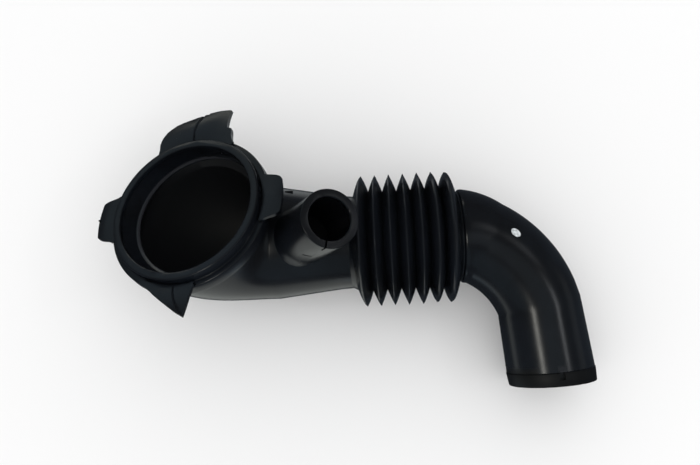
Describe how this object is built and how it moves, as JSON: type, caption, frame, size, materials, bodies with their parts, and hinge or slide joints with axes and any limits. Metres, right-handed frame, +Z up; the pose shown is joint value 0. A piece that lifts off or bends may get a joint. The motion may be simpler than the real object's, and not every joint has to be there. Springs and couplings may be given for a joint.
{
  "type": "washing machine tub pump hose",
  "caption": "Moulded black rubber drain hose with a flared eared cup for the tub outlet, an upright side stub, a soft bellows and a bent pump end.",
  "frame": {"origin": "middle of the underside of the box around the hose as it lies at rest", "axes": "+X along the hose from the tub cup to the pump end, +Z up as it lies, and the pump end opens towards -Y"},
  "size_m": [0.2496, 0.151, 0.0932],
  "materials": {
    "rubber": "satin black"
  },
  "bodies": {
    "root": {"tub_pump_hose": "rubber"}
  },
  "joints": []
}
